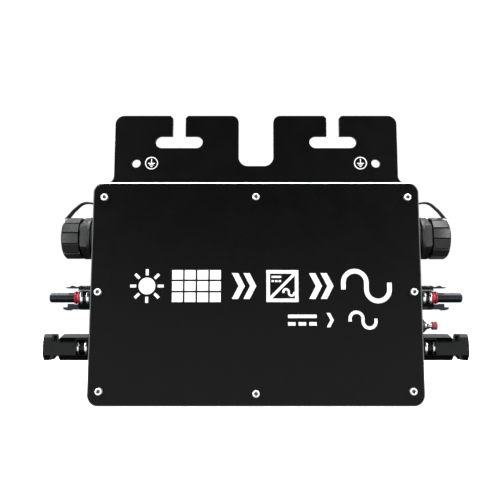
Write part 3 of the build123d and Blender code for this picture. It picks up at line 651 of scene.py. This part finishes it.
def tether_ring():
    """Ring of the tether around the cap's button."""
    start, end = TETHER_START, TETHER_START + TETHER_THICK
    shape = Shape().lathe([(start, 4.06, 0.1), (end, 4.06, 0.1), (end, 7.2, 0.3), (start, 7.2, 0.3)])
    return shape.block(start, end, -TETHER_WIDTH / 2, TETHER_WIDTH / 2, 6.6, 8.7, 0.2)


def even(path, spacing):
    """Points at an even spacing along a line."""
    points = [Vector(p) for p in path]
    lengths = [0.0]
    for a, b in zip(points, points[1:]):
        lengths.append(lengths[-1] + (b - a).length)
    count = max(2, round(lengths[-1] / spacing))
    line, index = [], 0
    for reach in steps_between(0.0, lengths[-1], count):
        while index < len(lengths) - 2 and lengths[index + 1] < reach:
            index += 1
        share = (reach - lengths[index]) / max(1e-9, lengths[index + 1] - lengths[index])
        line.append(tuple(points[index].lerp(points[index + 1], share)))
    return line


def tether_strap(lean):
    """Flat moulded band; it twists a little, by lean, between the root and the ring."""
    ring = TETHER_START + TETHER_THICK / 2
    route = [(ANCHOR_X, 16.4, 0), (ANCHOR_X, 27.2, 3.5), (135.0, 28.8, 9.0), (142.6, 21.8, 12.0),
             (146.5, 16.8, 3.0), (ring, 15.2, 1.5), (ring, 8.5, 0)]
    half_width, half_thick = TETHER_WIDTH / 2, TETHER_THICK / 2
    flat = rectangle(-half_width, half_width, -half_thick, half_thick, 0.3, 3)

    def section(share):
        twist = lean * math.sin(math.pi * share ** 3)
        c, s = math.cos(twist), math.sin(twist)
        return [(u * c - v * s, u * s + v * c) for u, v in flat]
    return Shape().sweep(even(soften(route, 10), 0.5), section)


def outlet(side, sign):
    """Outlet, cap and tether on one side."""
    tether_end = f"tether_end_{side}"
    rows = (("ac_outlet", ac_socket(), "inverter", "black_plastic", "ac_socket"),
            ("screw_cap", dust_cap(), f"cap_{side}", "black_plastic", "dust_cap"),
            ("tether_root", tether_root(), "inverter", "black_rubber", "tether_anchor"),
            ("tether_eye", tether_ring(), tether_end, "black_rubber", "tether_ring"))
    for name, shape, body, skin, replaced in rows:
        piece(f"{name}_{side}", shape.at(AC_HEIGHT, sign), body, skin, [f"{replaced}_{side}"])
    strap = piece(f"tether_band_{side}", tether_strap(STRAP_TWIST[side]).at(AC_HEIGHT, sign), None,
                  "black_rubber", [f"tether_strap_{side}"])
    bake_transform(strap)


for side, sign in SIDES.items():
    outlet(side, sign)


# ---------------------------------------------------------------- solar connectors and button

WIDE_RING = (126.0, 128.7)
SLIM_RING = 2.0
RING_STARTS = {PLUG_HEIGHT: 131.2, SOCKET_HEIGHT: 132.6}
RING_RADIUS = 8.5
WAIST_RADIUS = 6.3
SEAL_START = 133.8
SEAL_END = 138.8
SEAL_INNER = 3.73
SEAL_RADIUS = 4.95


def bright_rings():
    """A wide and a slim bright ring on each solar connector."""
    shape = Shape()
    for sign in SIDES.values():
        for height, start in RING_STARTS.items():
            for x0, x1 in (WIDE_RING, (start, start + SLIM_RING)):
                ring = Shape().lathe([(x0, WAIST_RADIUS, 0), (x1, WAIST_RADIUS, 0),
                                      (x1, RING_RADIUS, 0.35), (x0, RING_RADIUS, 0.35)])
                shape.merge(ring.at(height, sign))
    piece("metal_rings", shape, "inverter", "nickel", ["pv_rings"])


def seal_ring():
    """Red ring with two beads and a deep groove between them."""
    return Shape().lathe([
        (SEAL_START, SEAL_INNER, 0), (SEAL_END, SEAL_INNER, 0), (SEAL_END, 4.4, 0.2),
        (SEAL_END - 0.4, 4.9, 0.3), (SEAL_END - 1.2, 4.9, 0.3), (SEAL_END - 1.5, 4.0, 0.1),
        (SEAL_START + 2.9, 4.0, 0.1), (SEAL_START + 2.5, SEAL_RADIUS, 0.3),
        (SEAL_START + 0.5, SEAL_RADIUS, 0.3), (SEAL_START, 4.5, 0.2)])


bright_rings()
for side, sign in SIDES.items():
    piece(f"red_seal_{side}", seal_ring().at(PLUG_HEIGHT, sign), "inverter", "red_rubber",
          [f"pv_plug_seal_{side}"])


COLLAR_START = 122.5
COLLAR_END = 128.6
BUSH_END = 132.4
BUSH_RADIUS = 3.5
STEM_STOP = 114.6
STEM_HEAD = 113.1
STEM_END = 135.9
STEM_RADIUS = 1.9
BUTTON_START = 134.4
BUTTON_END = 138.3
SPRING_FLOOR = 103.0


def button_parts():
    """Collar and bush on the wall, and the stem and cap that go in."""
    collar = [(COLLAR_START, 3.52, 0), (COLLAR_END, 3.52, 0), (COLLAR_END, 4.9, 0.2),
              (COLLAR_END - 1.0, 5.5, 0.3), (COLLAR_START, 5.5, 0)]
    bore = STEM_RADIUS + 0.05
    bush = [(STEM_STOP, bore, 0), (BUSH_END, bore, 0), (BUSH_END, 2.3, 0.15),
            (BUSH_END - 1.2, 2.6, 0.6), (BUSH_END - 3.1, 4.1, 0.4), (COLLAR_END + 0.02, 4.2, 0.1),
            (COLLAR_END + 0.02, BUSH_RADIUS, 0), (STEM_STOP, BUSH_RADIUS, 0)]
    stem = [(STEM_HEAD, 0, 0), (STEM_END, 0, 0), (STEM_END, STEM_RADIUS, 0),
            (STEM_STOP, STEM_RADIUS, 0), (STEM_STOP, 3.3, 0.2), (STEM_HEAD, 3.3, 0.2)]
    cap = [(STEM_END, 0, 0), (BUTTON_END, 0, 0), (BUTTON_END, 2.7, 0.5), (BUTTON_END - 0.2, 3.2, 0.3),
           (BUTTON_START + 2.0, 3.0, 2.0), (BUTTON_START + 0.3, 3.2, 0.3), (BUTTON_START, 2.7, 0.2),
           (BUTTON_START, STEM_RADIUS, 0), (STEM_END, STEM_RADIUS, 0)]
    rows = (("collar", collar, "inverter", "black_plastic"), ("bush", bush, "inverter", "nickel"),
            ("stem", stem, "button", "nickel"), ("cap", cap, "button", "button_red"))
    for name, outline, body, skin in rows:
        piece(f"push_{name}", Shape().lathe(outline, 64).at(BUTTON_HEIGHT), body, skin,
              [f"button_{name}"])


def button_spring():
    """Coils of wire from the switch floor to the stem's head."""
    wire, radius, turns, coil_steps = 0.25, 2.4, 6, 24
    first, last = SPRING_FLOOR + wire + 0.05, STEM_HEAD - wire - 0.05
    rings = []
    for index, middle in enumerate(steps_between(first, last, turns * coil_steps)):
        a = 2 * math.pi * index / coil_steps
        rings.append([(middle + wire * math.sin(b), (radius + wire * math.cos(b)) * math.cos(a),
                       (radius + wire * math.cos(b)) * math.sin(a)) for b in full_turn(8)])
    return Shape().shell(rings)


button_parts()
spring = piece("return_spring", button_spring().at(BUTTON_HEIGHT), None, "spring_steel",
               ["button_spring"])
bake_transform(spring)


def ease_edges(node, width, segments=2):
    """Rounded edges on a CAD part, width in millimetres."""
    bevel = nodes[node].modifiers.new("eased", "BEVEL")
    bevel.width = width * MM
    bevel.segments = segments
    bevel.limit_method = "ANGLE"
    bevel.angle_limit = math.radians(40)
    bevel.harden_normals = True
    bevel.use_clamp_overlap = True


ease_edges("housing", 0.5, 3)
for side in SIDES:
    ease_edges(f"pv_plug_{side}", 0.15)
    ease_edges(f"pv_socket_{side}", 0.25)


# ---------------------------------------------------------------- CAD parts shown as they are

for row in frame["record"]["subparts"]:
    part = nodes[row["node"]]
    part.data.materials.clear()
    skin = "socket_plastic" if row["node"].startswith("pv_socket_") else row["material_slot"]
    part.data.materials.append(SKIN[skin])


# ---------------------------------------------------------------- studio

LIGHT_AIM = Vector((0, 0, 0.1))


def area_light(name, place, size, power):
    """A rectangular light that faces the object; places and sizes in the studio are in metres."""
    data = bpy.data.lights.new(name, "AREA")
    data.shape = "RECTANGLE"
    data.size, data.size_y = size
    data.energy = power
    light = bpy.data.objects.new(name, data)
    light.location = place
    light.rotation_euler = (LIGHT_AIM - Vector(place)).to_track_quat("-Z", "Y").to_euler()
    bpy.context.scene.collection.objects.link(light)


def sky():
    """Dim grey all round, with a bright low band in front that fades upwards and sideways."""
    world = bpy.data.worlds.new("studio")
    bpy.context.scene.world = world
    world.use_nodes = True
    tree = world.node_tree
    coords = tree.nodes.new("ShaderNodeTexCoord")
    axes = tree.nodes.new("ShaderNodeSeparateXYZ")
    tree.links.new(coords.outputs["Generated"], axes.inputs["Vector"])

    def span(axis, start, end, low=0.0, high=1.0):
        node = tree.nodes.new("ShaderNodeMapRange")
        node.interpolation_type = "SMOOTHSTEP"
        for key, value in (("From Min", start), ("From Max", end), ("To Min", low), ("To Max", high)):
            node.inputs[key].default_value = value
        tree.links.new(axes.outputs[axis], node.inputs["Value"])
        return node.outputs["Result"]

    def combine(operation, a, b):
        node = tree.nodes.new("ShaderNodeMath")
        node.operation = operation
        for socket, value in zip(node.inputs, (a, b)):
            if isinstance(value, float):
                socket.default_value = value
            else:
                tree.links.new(value, socket)
        return node.outputs["Value"]

    band = combine("MULTIPLY", span("Z", 0.2, -0.04), span("Z", -0.75, -0.35))
    band = combine("MULTIPLY", band, span("Y", -0.25, -0.85))
    base = combine("MULTIPLY", span("Z", -0.9, -0.2, 0.05, 0.22), span("Y", -0.9, -0.2, 0.25, 1.0))
    band_strength = 1.25
    band = combine("MULTIPLY", band, band_strength)
    back = tree.nodes["Background"]
    tree.links.new(combine("ADD", base, band), back.inputs["Color"])
    back.inputs["Strength"].default_value = 1.0


def studio():
    """Soft light from above, a panel to each side in front and behind, and the sky."""
    sky()
    area_light("overhead", (0, -0.15, 1.5), (1.6, 1.2), 42)
    for side, sign in SIDES.items():
        area_light(f"{side}_panel", (sign * 1.45, -1.45, 0.75), (0.7, 1.2), 32)
        area_light(f"{side}_back_panel", (sign * 1.3, 1.6, 0.9), (0.9, 1.4), 45)


def white(name, tone, glow):
    """A matte white that glows by itself."""
    made = bpy.data.materials.new(name)
    made.use_nodes = True
    shader = made.node_tree.nodes["Principled BSDF"]
    shader.inputs["Base Color"].default_value = (tone, tone, tone, 1)
    shader.inputs["Roughness"].default_value = 0.9
    shader.inputs["Specular IOR Level"].default_value = 0.0
    shader.inputs["Emission Color"].default_value = (1, 1, 1, 1)
    shader.inputs["Emission Strength"].default_value = glow
    return made


def room():
    """A pale floor just under the object, and a white dome; the object mirrors neither."""
    gap = 0.0004
    bpy.ops.mesh.primitive_circle_add(vertices=96, radius=4.0, fill_type="NGON",
                                      location=(0, 0, -gap))
    floor = bpy.context.object
    floor.name = "floor"
    floor.data.materials.append(white("floor_white", 0.8, 0.9))
    bpy.ops.mesh.primitive_uv_sphere_add(segments=48, ring_count=24, radius=5.0)
    dome = bpy.context.object
    dome.name = "dome"
    dome.data.materials.append(white("dome_white", 0.0, 1.05))
    for backdrop in (floor, dome):
        backdrop.visible_diffuse = False
        backdrop.visible_glossy = False
        backdrop.visible_transmission = False
    dome.visible_shadow = False


def camera():
    """Square in front of the object, near its lower half and tilted up, as in the photograph."""
    data = bpy.data.cameras.new("camera")
    data.lens = 43.2
    data.sensor_width = 36.0
    data.shift_x = -0.012
    distance, height, tilt = 0.4618, 0.0592, 7
    eye = bpy.data.objects.new("camera", data)
    eye.location = (0, -distance, height)
    eye.rotation_euler = (math.radians(90 + tilt), 0, 0)
    bpy.context.scene.collection.objects.link(eye)
    bpy.context.scene.camera = eye


studio()
room()
camera()
bpy.context.scene.view_settings.view_transform = "Standard"
